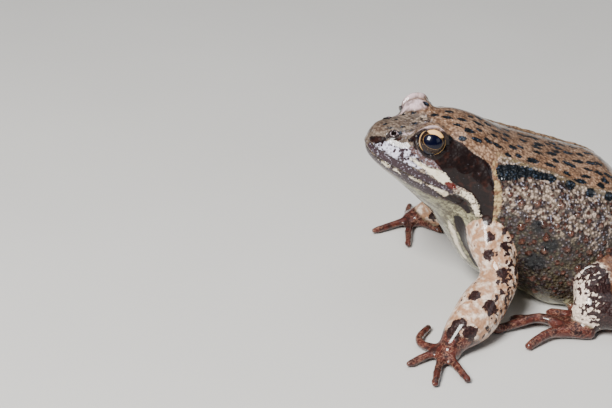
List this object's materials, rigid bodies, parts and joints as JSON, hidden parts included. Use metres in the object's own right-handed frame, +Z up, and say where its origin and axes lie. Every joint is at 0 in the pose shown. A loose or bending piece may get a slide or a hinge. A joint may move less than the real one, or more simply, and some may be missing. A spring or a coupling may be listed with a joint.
{
  "type": "common frog",
  "caption": "Still, life-size model of a common frog sitting up on its hands and belly, with its hind legs folded and its head turned a little to its left.",
  "frame": {"origin": "middle of the frog's outline on the floor it rests on", "axes": "-X is the way the trunk faces, -Y is the frog's left and +Z is up"},
  "size_m": [0.0912, 0.0894, 0.0487],
  "materials": {
    "back_skin": "wet, ochre brown",
    "head_skin": "wet, pinkish brown",
    "arm_skin": "wet, pinkish tan",
    "leg_skin": "wet, barred brown",
    "digit_skin": "wet, reddish brown",
    "eye": "polished, dark with a gold rim"
  },
  "bodies": {
    "root": {"eye_left": "eye", "eye_right": "eye", "foot_left": "digit_skin", "foot_right": "digit_skin", "forearm_left": "arm_skin", "forearm_right": "arm_skin", "hand_left": "digit_skin", "hand_right": "digit_skin", "head": "head_skin", "shank_left": "leg_skin", "shank_right": "leg_skin", "tarsus_left": "leg_skin", "tarsus_right": "leg_skin", "thigh_left": "leg_skin", "thigh_right": "leg_skin", "trunk": "back_skin", "upper_arm_left": "arm_skin", "upper_arm_right": "arm_skin"}
  },
  "joints": []
}
